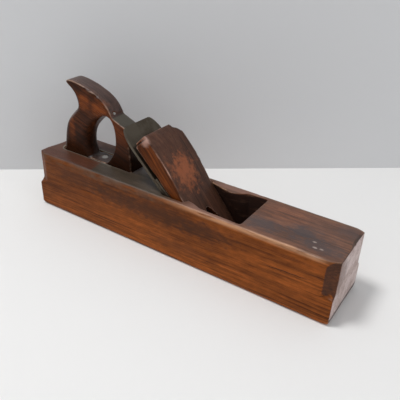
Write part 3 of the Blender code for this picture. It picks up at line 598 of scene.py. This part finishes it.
stockLook = {
    "sidePale": rgb(0.355, 0.094, 0.017),
    "sideDeep": rgb(0.080, 0.024, 0.006),
    "sideShadow": rgb(0.052, 0.022, 0.012),
    "topPale": rgb(0.225, 0.098, 0.056),
    "topDeep": rgb(0.085, 0.040, 0.027),
    "rearTopDeep": rgb(0.045, 0.032, 0.022),
    "toeOrange": rgb(0.340, 0.125, 0.060),
    "rearTop": rgb(0.120, 0.084, 0.056),
    "heelTop": rgb(0.165, 0.042, 0.012),
    "waxLine": rgb(0.200, 0.195, 0.150),
    # painted shade for the inside of the throat, plain and mottled
    "throatShade": rgb(0.024, 0.014, 0.012),
    "throatShadeMottle": rgb(0.085, 0.044, 0.030),
    "cheekRub": rgb(0.250, 0.130, 0.095),
    "dust": rgb(0.115, 0.074, 0.052),
    "worn": rgb(0.560, 0.330, 0.185),
    "grimeAndShade": rgb(0.012, 0.008, 0.006),
    # the toe end's colours: pale end grain with painted glare in them
    "toeEndPaleAndGlare": rgb(0.620, 0.505, 0.480),
    "toeEndDeepAndGlare": rgb(0.400, 0.285, 0.250),
    "heelPale": rgb(0.260, 0.115, 0.055),
    "heelDeep": rgb(0.120, 0.052, 0.026),
    "blueStain": rgb(0.048, 0.040, 0.042),
    # worn near arris, with a painted highlight in its colour
    "frontArrisWornAndLit": rgb(0.500, 0.262, 0.140),
    "fleck": rgb(0.46, 0.37, 0.32),
    "corner": rgb(0.040, 0.026, 0.022),
    "toeHandled": rgb(0.150, 0.082, 0.060),
    # painted shade along the toe end's rounded foot
    "toeFootShade": rgb(0.06, 0.045, 0.042),
    "wood": {"Streaks": 0.85, "Wear Amount": 0.6, "Gloss": 0.42, "Relief": 0.55},
    "shine": (0.08, 0.36),
    "sideTone": (0.45, 1.18, 0.0, 2.0),
    "grainTurn": (0.02, 0.012, 0.008),
    "rearSlant": 0.17,
    "rearFade": (-0.1125, -0.1165),
    "footRound": 0.008,
    "waxAt": 0.0012,
    "waxFade": (0.0017, 0.0009),
    "waxAmount": 0.75,
    "throatShadeMottling": (((60, 40, 220), 4, 0.6), (0.5, 0.75)),
    "throatShadeAmount": 0.93,
    "cheekAmount": 0.55,
    "settled": (((40, 120, 120), 5, 0.7), (0.3, 0.7)),
    "dustAmount": 0.85,
    "polish": (((30, 260, 260), 4, 0.65, (2, 6, 4)), (0.25, 0.62)),
    "polishAmount": 0.8,
    "cornerAmount": 0.72,
    "ringAt": (0, -0.03, 0.06),
    "ringShare": 0.09,
    "endMottle": ((80, 75, 75), 5, 0.7),
    "endPores": (((1800, 1800, 1800), 2, 0.5, (1, 4, 2)), (0.62, 0.72)),
    "endFade": (0.38, 0.64),
    "endPoreDark": 0.5,
    "toeHandledAmount": 0.6,
    "toeFootShadeAmount": 0.8,
    "checkWander": ((60, 1, 1), 3, 0.6),
    "checkSlope": 0.055,
    "checkStray": 0.004,
    "checkAt": 0.0354,
    "checkFade": (0.00055, 0.00015),
    "checkAmount": 0.85,
    "checkDepth": 0.0006,
    # what is measured, where the mark begins and where it is whole
    "fades": {
        "top": ("faceZ", 0.60, 0.90),
        "midTop": ("x", 0.015, -0.010),
        "brightToe": ("x", -0.20, 0.20),
        "brightSole": ("z", 0.070, 0.0),
        "waxRear": ("x", -0.060, -0.110),
        "throatRear": ("x", -0.045, -0.030),
        "throatFront": ("x", 0.0915, 0.0895),
        "throatSides": ("offMiddle", 0.0330, 0.0318),
        "throatTop": ("z", topZ - 0.0001, topZ - 0.0016),
        "cheekRear": ("x", 0.018, 0.034),
        "cheekFront": ("x", 0.088, 0.070),
        "cheekSides": ("offMiddle", 0.0225, 0.0265),
        "chamferLow": ("z", topZ - 0.0095, topZ - 0.006),
        "chamferSides": ("offMiddle", 0.0335, 0.0350),
        "dustFront": ("x", 0.045, -0.045),
        "arrisLow": ("z", topZ - 0.0058, topZ - 0.0018),
        "arrisSide": ("y", -0.0328, -0.0345),
        "arrisRear": ("x", -0.030, 0.070),
        "arrisFront": ("x", 0.188, 0.170),
        "upright": ("faceZ", 0.6, 0.4),
        "cornerRear": ("x", toeX - 0.0165, toeX - 0.0125),
        "cornerLow": ("z", 0.029, 0.032),
        "cornerTurned": ("endOn", 0.25, 0.4),
        "ends": ("endOn", 0.72, 0.90),
        "toeEnd": ("x", toeX - 0.004, toeX - 0.002),
        "heelEnd": ("x", heelX + 0.004, heelX + 0.002),
        "toeHalf": ("x", 0.0, 0.01),
        "toeFootShade": ("z", 0.0095, 0.0072),
        "checkRear": ("x", 0.118, 0.130),
        "checkFront": ("x", 0.172, 0.160),
        "checkSide": ("faceY", -0.6, -0.8),
    },
    # centre, reach and raggedness of single marks
    # toeGlow is a painted pool of light on the top before the toe
    "toeGlow": ((0.117, 0.014, topZ), (0.030, 0.022, 0.02), 0.5),
    "toeHandledSpot": ((toeX, -0.026, 0.056), (0.02, 0.016, 0.022), 0.9),
    # centre, reach and strength of repeated marks
    # painted shadows on the near side, under its arris
    "sideShadows": (
        ((-0.015, nearY, 0.052), (0.085, 0.02, 0.016), 0.62),
        ((0.050, nearY, 0.052), (0.045, 0.02, 0.011), 0.50),
        ((-0.060, nearY, 0.050), (0.050, 0.02, 0.012), 0.40),
        ((-0.123, nearY, 0.056), (0.050, 0.02, 0.010), 0.50),
        ((0.020, nearY, 0.020), (0.055, 0.02, 0.009), 0.35)),
    "blueStains": (
        ((0.105, -0.016, topZ), (0.024, 0.013, 0.02), 0.72),
        ((0.147, -0.006, topZ), (0.022, 0.013, 0.02), 0.78),
        ((0.170, -0.019, topZ), (0.026, 0.012, 0.02), 0.70),
        ((0.184, 0.022, topZ), (0.018, 0.014, 0.02), 0.45),
        ((-0.070, 0.004, topZ), (0.018, 0.016, 0.02), 0.85),
        ((-0.029, -0.018, topZ), (0.016, 0.010, 0.02), 0.45),
        ((-0.165, 0.020, topZ), (0.028, 0.020, 0.02), 0.35)),
    "flecks": tuple((spot, (0.0022, 0.0013, 0.004), 0.65) for spot in (
        (0.1610, -0.0150, topZ), (0.1710, -0.0228, topZ), (0.165, -0.0236, topZ))),
}
stockWear = {
    "voxel": 0.0011,
    "smoothing": 3,
    "mostTriangles": 190000,
    "seed": 3,
    "wave": 0.00035,
    "waveScale": (14, 22, 22),
    "nick": 0.0004,
    "nickScale": (90, 140, 140),
    "nickFrom": 0.45,
    "ease": 0.00025,
    "dents": [
        ((toeX - 0.008, nearY + 0.001, 0.0335), (0.009, 0.004, 0.004), 0.0008, (-0.4, 1, 0)),
        ((0.168, nearY + 0.0035, topZ), (0.010, 0.003, 0.003), 0.0004, (0, 0.5, -1)),
        ((0.060, nearY, 0.030), (0.010, 0.004, 0.004), 0.0006, (0, 1, 0)),
        ((-0.110, nearY, 0.044), (0.014, 0.005, 0.003), 0.0006, (0, 1, 0)),
        ((heelX, 0.010, topZ), (0.006, 0.030, 0.004), 0.0012, (1, 0, -1)),
        ((toeX, 0.012, topZ), (0.004, 0.020, 0.004), 0.0010, (-1, 0, -1)),
    ],
}


def stockWood(tree, place, at, top, look):
    # the top differs from the sides, and changes under the irons and again behind the tote
    slant = calc(tree, "ADD", at["x"], calc(tree, "MULTIPLY", at["y"], look["rearSlant"]))
    rear = between(tree, slant, *look["rearFade"])
    midTop = times(tree, fadeIn(tree, at, look, "midTop"), without(tree, rear))
    # the toe glow is painted light on the top
    topPale = paint(tree, look["topPale"], look["toeOrange"], spotMask(tree, place, *look["toeGlow"]))
    topPale = paint(tree, topPale, look["rearTop"], midTop)
    topPale = paint(tree, topPale, look["heelTop"], rear)
    topDeep = paint(tree, look["topDeep"], look["rearTopDeep"], midTop)
    pale = paint(tree, look["sidePale"], topPale, top)
    deep = paint(tree, look["sideDeep"], topDeep, top)
    # the wood is brighter towards the toe and the sole
    bright = calc(tree, "ADD", fadeIn(tree, at, look, "brightToe"), fadeIn(tree, at, look, "brightSole"))
    pale = tint(tree, pale, bright, *look["sideTone"])
    return woodOf(tree, place, look, pale, deep)


def waxRing(tree, at, top, look):
    # a thin line of old polish stands round the tote's foot
    squares = []
    for axis, name in enumerate("xy"):
        low, high = toteBox[0][axis], toteBox[1][axis]
        off = absolute(tree, calc(tree, "SUBTRACT", at[name], (high + low) / 2))
        over = calc(tree, "SUBTRACT", off, (high - low) / 2 - look["footRound"])
        over = calc(tree, "MAXIMUM", over, 0.0)
        squares.append(calc(tree, "MULTIPLY", over, over))
    away = calc(tree, "SQRT", calc(tree, "ADD", *squares))
    away = calc(tree, "SUBTRACT", away, look["footRound"])
    line = between(tree, absolute(tree, calc(tree, "SUBTRACT", away, look["waxAt"])), *look["waxFade"])
    return times(tree, line, top, fadeIn(tree, at, look, "waxRear"))


def paintSpots(tree, place, colour, coat, spots, ragged, *masks):
    for centre, reach, amount in spots:
        mask = spotMask(tree, place, centre, reach, ragged)
        colour = paint(tree, colour, coat, mask, amount, *masks)
    return colour


def endGrainColour(tree, place, at, look):
    # growth rings round a heart below the sole, lost in mottling and pores
    centred = put(tree, "ShaderNodeMapping", {"Vector": place.outputs["Object"],
                                              "Location": look["ringAt"], "Scale": (0, 1, 1)})
    rings = put(tree, "ShaderNodeTexWave",
                {"Vector": centred.outputs[0], "Scale": 70.0, "Distortion": 9.0, "Detail": 4.0,
                 "Detail Scale": 2.4, "Detail Roughness": 0.65}, wave_type="RINGS", rings_direction="X")
    mottled = grainNoise(tree, place.outputs["Object"], *look["endMottle"])
    shade = sumOf(tree, (rings.outputs["Fac"], look["ringShare"]), (mottled, 1 - look["ringShare"]))
    # the toe end is pale end grain with painted glare added
    atToe = fadeIn(tree, at, look, "toeHalf")
    pale = paint(tree, look["heelPale"], look["toeEndPaleAndGlare"], atToe)
    deep = paint(tree, look["heelDeep"], look["toeEndDeepAndGlare"], atToe)
    colour = paint(tree, pale, deep, between(tree, shade, *look["endFade"]))
    colour = paint(tree, colour, look["grimeAndShade"], grainMask(tree, place, *look["endPores"]),
                   look["endPoreDark"])
    # the toe end is darker where it is held, and painted shade darkens its foot, the rounded bottom edge
    colour = paint(tree, colour, look["toeHandled"], spotMask(tree, place, *look["toeHandledSpot"]),
                   look["toeHandledAmount"])
    return paint(tree, colour, look["toeFootShade"], fadeIn(tree, at, look, "toeFootShade"),
                 look["toeFootShadeAmount"])


def longCheck(tree, place, at, look):
    # a split that runs with the grain in the near side
    wander = grainNoise(tree, place.outputs["Object"], *look["checkWander"])
    line = sumOf(tree, (at["x"], look["checkSlope"]),
                 (calc(tree, "SUBTRACT", wander, 0.5), look["checkStray"]))
    off = calc(tree, "SUBTRACT", calc(tree, "SUBTRACT", at["z"], look["checkAt"]), line)
    return times(tree, between(tree, absolute(tree, off), *look["checkFade"]),
                 fadeIn(tree, at, look, "checkRear", "checkFront", "checkSide"))


def makeStockMaterial(look):
    made, tree, shader, place = newMaterial("old beech stock")
    at = surface(tree, place)
    top = fadeIn(tree, at, look, "top")
    wood = stockWood(tree, place, at, top, look)
    colour = paint(tree, wood.outputs["Color"], look["waxLine"], waxRing(tree, at, top, look),
                   look["waxAmount"])
    # inside the throat the wood is painted near black as shade, with a lighter mottle
    inThroat = fadeIn(tree, at, look, "throatRear", "throatFront", "throatSides", "throatTop")
    dark = times(tree, inThroat, look["throatShadeAmount"])
    throatShade = paint(tree, look["throatShade"], look["throatShadeMottle"], grainMask(tree, place, *look["throatShadeMottling"]))
    colour = paint(tree, colour, throatShade, dark)
    # the cheeks' tops beside the throat are rubbed pinkish
    cheek = fadeIn(tree, at, look, "cheekRear", "cheekFront", "cheekSides")
    colour = paint(tree, colour, look["cheekRub"], cheek, top, without(tree, dark), look["cheekAmount"])
    # dust lies along the rear half of the top's arrises
    chamfer = fadeIn(tree, at, look, "chamferLow", "chamferSides", "dustFront")
    colour = paint(tree, colour, look["dust"], chamfer, grainMask(tree, place, *look["settled"]),
                   look["dustAmount"])
    # hands have polished the near arris pale from the throat to the toe, and a painted highlight along it
    # adds to the pale
    arris = fadeIn(tree, at, look, "arrisLow", "arrisSide", "arrisRear", "arrisFront")
    colour = paint(tree, colour, look["frontArrisWornAndLit"], arris, grainMask(tree, place, *look["polish"]),
                   look["polishAmount"])
    # painted shadow darkens the near side under its arris, and the top is stained and flecked with old
    # paint
    colour = paintSpots(tree, place, colour, look["sideShadow"], look["sideShadows"], 0.8,
                        fadeIn(tree, at, look, "upright"))
    colour = paintSpots(tree, place, colour, look["blueStain"], look["blueStains"], 0.9)
    colour = paintSpots(tree, place, colour, look["fleck"], look["flecks"], 0.9)
    # the upright chamfers at the toe have gone dark
    corner = fadeIn(tree, at, look, "cornerRear", "cornerLow", "cornerTurned")
    colour = paint(tree, colour, look["corner"], corner, look["cornerAmount"])
    outside = calc(tree, "ADD", fadeIn(tree, at, look, "toeEnd"), fadeIn(tree, at, look, "heelEnd"))
    colour = paint(tree, colour, endGrainColour(tree, place, at, look), fadeIn(tree, at, look, "ends"),
                   outside)
    check = longCheck(tree, place, at, look)
    colour = paint(tree, colour, look["grimeAndShade"], check, look["checkAmount"])
    joinShader(tree, shader, wood, colour)
    split = put(tree, "ShaderNodeBump", {"Height": calc(tree, "SUBTRACT", 0, check), "Strength": 1.0,
                                         "Distance": look["checkDepth"],
                                         "Normal": wood.outputs["Normal"]})
    tree.links.new(split.outputs[0], shader.inputs["Normal"])
    shine(tree, shader, top, look["shine"])
    return made


makeWooden("stock", "stock_and_tote", stockWear, makeStockMaterial(stockLook))


toteLook = {
    "pale": rgb(0.082, 0.023, 0.007),
    "deep": rgb(0.012, 0.005, 0.003),
    "topPale": rgb(0.094, 0.050, 0.038),
    "topDeep": rgb(0.038, 0.022, 0.019),
    "nose": rgb(0.052, 0.047, 0.034),
    "legRub": rgb(0.120, 0.028, 0.006),
    "legDeep": rgb(0.060, 0.016, 0.005),
    "gripGlow": rgb(0.215, 0.052, 0.010),
    "worn": rgb(0.400, 0.255, 0.180),
    "grimeAndShade": rgb(0.012, 0.008, 0.006),
    "wood": {"Streaks": 0.85, "Wear Amount": 0.95, "Corner Shade Amount": 0.5, "Gloss": 0.27, "Relief": 0.30},
    "shine": (0.07, 0.30),
    "lowTone": (1.0, 0.45),
    "grainTurn": (0, -0.35, 0),
    "glowDeepShare": 0.6,
    "noseAmount": 0.8,
    "fades": {
        "top": ("faceZ", 0.30, 0.50),
        "legFront": ("x", -0.101, -0.094),
        "legUpper": ("z", 0.098, 0.106),
        "low": ("z", 0.112, 0.080),
        "noseFront": ("x", -0.0965, -0.0950),
        "noseTop": ("faceZ", 0.80, 0.90),
    },
    # painted highlights on the grip's near face
    # centre, reach and raggedness
    "glows": (
        ((-0.113, -0.010, 0.138), (0.014, 0.014, 0.010), 0.6),
        ((-0.136, -0.010, 0.142), (0.010, 0.014, 0.012), 0.6),
        ((-0.159, -0.010, 0.102), (0.006, 0.014, 0.022), 0.6)),
}
toteWear = {
    "voxel": 0.00075,
    "smoothing": 4,
    "mostTriangles": 120000,
    "seed": 21,
    "wave": 0.00025,
    "waveScale": (30, 30, 30),
    "nick": 0.0003,
    "nickScale": (110, 160, 110),
    "nickFrom": 0.50,
    "ease": 0.00015,
    "dents": [
        ((-0.128, -0.0095, 0.158), (0.008, 0.003, 0.003), 0.0008, (0, 1, -0.6)),
        ((-0.118, -0.0095, 0.152), (0.006, 0.003, 0.003), 0.0008, (0, 1, -0.6)),
    ],
}


def makeToteMaterial(look):
    made, tree, shader, place = newMaterial("handled beech tote")
    at = surface(tree, place)
    top = fadeIn(tree, at, look, "top")
    pale = paint(tree, look["pale"], look["topPale"], top)
    deep = paint(tree, look["deep"], look["topDeep"], top)
    # fingers keep the front leg's upper half bright
    leg = times(tree, fadeIn(tree, at, look, "legFront", "legUpper"), without(tree, top))
    pale = paint(tree, pale, look["legRub"], leg)
    deep = paint(tree, deep, look["legDeep"], leg)
    # the glows are painted highlights on the grip
    for spot in look["glows"]:
        glow = spotMask(tree, place, *spot)
        pale = paint(tree, pale, look["gripGlow"], glow)
        deep = paint(tree, deep, look["pale"], glow, look["glowDeepShare"])
    pale = tint(tree, pale, fadeIn(tree, at, look, "low"), *look["lowTone"])
    wood = woodOf(tree, place, look, pale, deep)
    nose = fadeIn(tree, at, look, "noseFront", "noseTop")
    joinShader(tree, shader, wood, paint(tree, wood.outputs["Color"], look["nose"], nose,
                                         look["noseAmount"]))
    shine(tree, shader, top, look["shine"])
    return made


makeWooden("tote", "stock_and_tote", toteWear, makeToteMaterial(toteLook))


wedgeLook = {
    "frontPale": rgb(0.100, 0.041, 0.024),
    "frontDeep": rgb(0.050, 0.023, 0.015),
    "sidePale": rgb(0.160, 0.040, 0.008),
    "sideDeep": rgb(0.016, 0.006, 0.003),
    "rubbed": rgb(0.340, 0.100, 0.038),
    # painted highlight colour for the near top corner
    "cornerHighlight": rgb(0.420, 0.260, 0.210),
    "worn": rgb(0.600, 0.360, 0.270),
    "grimeAndShade": rgb(0.012, 0.008, 0.006),
    "wood": {"Streaks": 0.8, "Wear Amount": 0.7, "Gloss": 0.40, "Relief": 0.5},
    "shine": (0.20, 0.06),
    "grainTurn": (0, math.radians(-50), 0),
    "fades": {"side": ("sideOn", 0.55, 0.85)},
    # centre, reach and raggedness
    "rubSpot": ((0.003, -0.004, 0.093), (0.022, 0.019, 0.024), 1.1),
    "rubAmount": 0.68,
    "cornerHighlightSpot": ((-0.033, -0.028, 0.128), (0.008, 0.005, 0.008), 0.5),
    "cornerAmount": 0.7,
}
wedgeWear = {
    "voxel": 0.0008,
    "smoothing": 2,
    "mostTriangles": 120000,
    "seed": 40,
    "wave": 0.00025,
    "waveScale": (30, 30, 30),
    "nick": 0.0004,
    "nickScale": (90, 110, 90),
    "nickFrom": 0.45,
    "ease": 0.00020,
    "dents": [
        ((-0.0315, 0.0, 0.1305), (0.006, 0.012, 0.004), 0.0008, (0, 0, -1)),
    ],
}


def makeWedgeMaterial(look):
    made, tree, shader, place = newMaterial("worn beech wedge")
    side = fadeIn(tree, surface(tree, place), look, "side")
    wood = woodOf(tree, place, look, paint(tree, look["frontPale"], look["sidePale"], side),
                  paint(tree, look["frontDeep"], look["sideDeep"], side))
    colour = paint(tree, wood.outputs["Color"], look["rubbed"], spotMask(tree, place, *look["rubSpot"]),
                   without(tree, side), look["rubAmount"])
    # a painted pinkish highlight on the wedge's near top corner
    colour = paint(tree, colour, look["cornerHighlight"], spotMask(tree, place, *look["cornerHighlightSpot"]),
                   look["cornerAmount"])
    joinShader(tree, shader, wood, colour)
    shine(tree, shader, side, look["shine"])
    return made


makeWooden("wedge", "wedge", wedgeWear, makeWedgeMaterial(wedgeLook))


ironLook = {
    "bare": rgb(0.118, 0.098, 0.074),
    "patina": rgb(0.058, 0.043, 0.029),
    "rust": rgb(0.070, 0.032, 0.016),
    "grainTurn": math.radians(-45),
    "cell": 0.0035,
    "unevenness": 0.00010,
    "lumps": (120, 120, 120),
    "seed": 60,
    "arris": {"cutting_iron": 0.0004, "cap_iron": 0.0003},
    "cutWithin": 0.000005,
}


def makeIronMaterial(name, look, rustAmount, gloss, turn):
    made, tree, shader, place = newMaterial(name)
    iron = useGroup(tree, oldIron, {
        "Vector": alongGrain(tree, place, (0, turn, 0)), "Bare": look["bare"],
        "Patina": look["patina"], "Rust": look["rust"], "Rust Amount": rustAmount, "Gloss": gloss})
    joinShader(tree, shader, iron)
    return made


def easeEdges(obj, width, look):
    # small bevels on each arris, then cells fine enough for hammered unevenness
    bevelArrises(obj, width)
    bm = bmesh.new()
    bm.from_mesh(obj.data)
    low = Vector([min(v.co[axis] for v in bm.verts) for axis in range(3)])
    high = Vector([max(v.co[axis] for v in bm.verts) for axis in range(3)])
    for axis in range(3):
        normal = Vector([1.0 if axis == other else 0.0 for other in range(3)])
        for step in range(1, int((high[axis] - low[axis]) / look["cell"]) + 1):
            spot = low + normal * look["cell"] * step
            bmesh.ops.bisect_plane(bm, geom=bm.verts[:] + bm.edges[:] + bm.faces[:],
                                   dist=look["cutWithin"], plane_co=spot, plane_no=normal)
    bmesh.ops.triangulate(bm, faces=bm.faces)
    bm.to_mesh(obj.data)
    bm.free()
    points, normals = readPoints(obj.data)
    move = look["unevenness"] * (layeredNoise(points, look["lumps"], look["seed"], 3) - 1) * 0.5
    writePoints(obj.data, points + normals * move[:, None])


def makeIrons():
    material = makeIronMaterial("grey tool steel", ironLook, 0.45, 0.48, ironLook["grainTurn"])
    for node, body in (("cutting_iron", "iron"), ("cap_iron", "cap")):
        piece = copyOfNode(node, node + "_worn")
        easeEdges(piece, ironLook["arris"][node], ironLook)
        keepWear(piece.data, 0)
        finishMesh(piece, body, [node], material, meshCare["sharpTurn"])
        print(node, len(piece.data.polygons))


makeIrons()


fixingsLook = {
    "bare": rgb(0.55, 0.53, 0.50),
    "patina": rgb(0.22, 0.20, 0.18),
    "rust": rgb(0.07, 0.03, 0.015),
    "arris": 0.00015,
    "ridge": 0.00022,
    "capScrewLean": 44.51,       # degrees from upright, square to the iron
    # start radius, end radius, length, pitch, and how far along the screw it starts
    "threads": {
        "cap_screw": [(0.004, 0.004, 0.0078, 0.0010, -0.0064)],
        "tote_base_screw": [(0.0005, 0.0022, 0.0053, 0.0015, 0.0015),
                            (0.0022, 0.0022, 0.0150, 0.0015, 0.0068)],
    },
}
brassLook = {
    "bare": rgb(0.55, 0.40, 0.17),
    "patina": rgb(0.20, 0.13, 0.06),
    "rust": rgb(0.05, 0.06, 0.04),
}


def buildThreadTree():
    # a ridge wound round a shank, climbing from the origin along z
    tree = bpy.data.node_groups.new("screw thread", "GeometryNodeTree")
    for socketName, kind in (("Start Radius", "Float"), ("End Radius", "Float"), ("Length", "Float"),
                             ("Turns", "Float"), ("Ridge", "Float"), ("Material", "Material")):
        tree.interface.new_socket(socketName, in_out="INPUT", socket_type="NodeSocket" + kind)
    tree.interface.new_socket("Geometry", in_out="OUTPUT", socket_type="NodeSocketGeometry")
    given = tree.nodes.new("NodeGroupInput").outputs
    out = tree.nodes.new("NodeGroupOutput")
    helix = put(tree, "GeometryNodeCurveSpiral",
                {"Resolution": 24, "Rotations": given["Turns"], "Start Radius": given["Start Radius"],
                 "End Radius": given["End Radius"], "Height": given["Length"]})
    section = put(tree, "GeometryNodeCurvePrimitiveCircle", {"Resolution": 4, "Radius": given["Ridge"]})
    ridge = put(tree, "GeometryNodeCurveToMesh", {"Curve": helix.outputs[0],
                                                  "Profile Curve": section.outputs[0],
                                                  "Fill Caps": True})
    solid = put(tree, "GeometryNodeRealizeInstances", {"Geometry": ridge.outputs[0]})
    painted = put(tree, "GeometryNodeSetMaterial", {"Geometry": solid.outputs[0],
                                                    "Material": given["Material"]})
    tree.links.new(painted.outputs[0], out.inputs[0])
    return tree


threadTree = buildThreadTree()


def threadMesh(material, place, startRadius, endRadius, length, pitch, start):
    holder = newObject("thread", bpy.data.meshes.new("thread"))
    modifier = holder.modifiers.new("thread", "NODES")
    modifier.node_group = threadTree
    values = {"Start Radius": startRadius, "End Radius": endRadius, "Length": length,
              "Turns": length / pitch, "Ridge": fixingsLook["ridge"], "Material": material}
    for item in threadTree.interface.items_tree:
        if item.in_out == "INPUT":
            modifier[item.identifier] = values[item.name]
    mesh = bakedMesh(holder)
    bpy.data.objects.remove(holder, do_unlink=True)
    mesh.transform(place @ Matrix.Translation((0, 0, start)))
    return mesh


def addMesh(obj, mesh):
    bm = bmesh.new()
    bm.from_mesh(obj.data)
    bm.from_mesh(mesh)
    bm.to_mesh(obj.data)
    bm.free()
    bpy.data.meshes.remove(mesh)


def middleOf(box):
    return (Vector(box[0]) + Vector(box[1])) / 2


def makeFixings():
    steel = makeIronMaterial("rubbed fixing steel", fixingsLook, 0.25, 0.32, 0)
    screwSteel = makeIronMaterial("dark screw steel", ironLook, 0.4, 0.40, 0)
    brass = makeIronMaterial("tarnished brass", brassLook, 0.3, 0.38, 0)
    lean = Matrix.Rotation(math.radians(fixingsLook["capScrewLean"]), 4, "Y")
    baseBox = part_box("tote_base_screw")
    base = middleOf(baseBox)
    places = {
        "cap_screw": Matrix.Translation(middleOf(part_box("cap_iron_nut"))) @ lean,
        "tote_base_screw": Matrix.Translation((base.x, base.y, baseBox[0][2])),
    }
    for node, body, material, slot in (
            ("tote_base_screw", "stock_and_tote", steel, "fixing_steel"),
            ("tote_brad", "stock_and_tote", steel, "fixing_steel"),
            ("cap_screw", "screw", screwSteel, "iron_steel"),
            ("cap_iron_nut", "cap", brass, "nut_brass")):
        piece = copyOfNode(node, node + "_worn")
        bevelArrises(piece, fixingsLook["arris"])
        for thread in fixingsLook["threads"].get(node, ()):
            addMesh(piece, threadMesh(material, places[node], *thread))
        keepWear(piece.data, 0)
        finishMesh(piece, body, [node], material, meshCare["sharpTurn"])
    print("fixings made")


makeFixings()


stageLook = {
    "floor": rgb(0.80, 0.79, 0.775),
    "wall": rgb(0.68, 0.68, 0.685),
    "wallAt": 0.185,         # behind the plane, along the camera's view
    "wallTurn": 6.0,         # degrees
    "wallHalf": 3,
    "wallHeight": 2.5,
    "tableHalf": 4,
    "viewAhead": (-0.535, 0.845, 0),
}


def makeStage(look):
    made, _, shader, _ = newMaterial("pale table")
    shader.inputs["Base Color"].default_value = look["floor"]
    shader.inputs["Roughness"].default_value = 0.9
    shader.inputs["Specular IOR Level"].default_value = 0.1
    mesh = bpy.data.meshes.new("table")
    bm = bmesh.new()
    bmesh.ops.create_grid(bm, x_segments=1, y_segments=1, size=look["tableHalf"])
    bm.to_mesh(mesh)
    bm.free()
    table = newObject("table", mesh)
    mesh.materials.append(made)

    wallPaint, tree, shader, _ = newMaterial("grey cloth backdrop")
    shader.inputs["Base Color"].default_value = look["wall"]
    shader.inputs["Roughness"].default_value = 0.95
    behind = put(tree, "ShaderNodeNewGeometry")
    clear = put(tree, "ShaderNodeBsdfTransparent")
    blend = put(tree, "ShaderNodeMixShader", {0: behind.outputs["Backfacing"]})
    tree.links.new(shader.outputs[0], blend.inputs[1])
    tree.links.new(clear.outputs[0], blend.inputs[2])
    tree.links.new(blend.outputs[0], tree.nodes["Material Output"].inputs[0])
    wall = bpy.data.meshes.new("backdrop")
    bm = bmesh.new()
    ahead = Vector(look["viewAhead"]).normalized()
    ahead.rotate(Matrix.Rotation(math.radians(look["wallTurn"]), 3, "Z"))
    across = Vector((ahead.y, -ahead.x, 0))
    foot = ahead * look["wallAt"]
    corners = [foot - across * look["wallHalf"], foot + across * look["wallHalf"]]
    rise = Vector((0, 0, look["wallHeight"]))
    corners += [corners[1] + rise, corners[0] + rise]
    face = bm.faces.new([bm.verts.new(corner) for corner in corners])
    face.normal_update()
    if face.normal.dot(ahead) > 0:
        face.normal_flip()
    bm.to_mesh(wall)
    bm.free()
    wall.materials.append(wallPaint)
    backdrop = newObject("backdrop", wall)


lightsLook = {
    "sky": rgb(0.93, 0.96, 1.0),
    "skyStrength": 0.53,
    # name, place, aim, size and power
    "lamps": (
        ("window", (-0.50, -0.48, 1.90), (0, 0, 0.05), 0.55, 21.0),
        ("front fill", (0.30, -1.70, 0.90), (0, 0, 0.05), 1.20, 1.5),
        ("toe fill", (1.60, -0.10, 0.70), (0.1, 0, 0.04), 1.00, 3.0)),
}


def makeLights(look):
    world = bpy.data.worlds.new("soft room")
    bpy.context.scene.world = world
    world.use_nodes = True
    back = world.node_tree.nodes["Background"]
    back.inputs["Color"].default_value = look["sky"]
    back.inputs["Strength"].default_value = look["skyStrength"]
    for name, spot, aim, size, power in look["lamps"]:
        lamp = bpy.data.lights.new(name, "AREA")
        lamp.shape = "DISK"
        lamp.size = size
        lamp.energy = power
        holder = newObject(name, lamp)
        holder.location = spot
        holder.rotation_euler = (Vector(aim) - Vector(spot)).to_track_quat("-Z", "Y").to_euler()


cameraLook = {
    "lens": 46.9,
    "sensorWidth": 36,
    "clipStart": 0.01,
    "place": (0.2864, -0.4189, 0.3491),
    "turn": (59.868, -2.143, 33.575),        # degrees
}


def makeCamera(look):
    camera = bpy.data.cameras.new("camera")
    camera.lens = look["lens"]
    camera.sensor_width = look["sensorWidth"]
    camera.clip_start = look["clipStart"]
    holder = newObject("camera", camera)
    holder.location = look["place"]
    holder.rotation_euler = [math.radians(angle) for angle in look["turn"]]
    bpy.context.scene.camera = holder


makeStage(stageLook)
makeLights(lightsLook)
makeCamera(cameraLook)
bpy.context.scene.view_settings.view_transform = "Standard"
print("stage set")
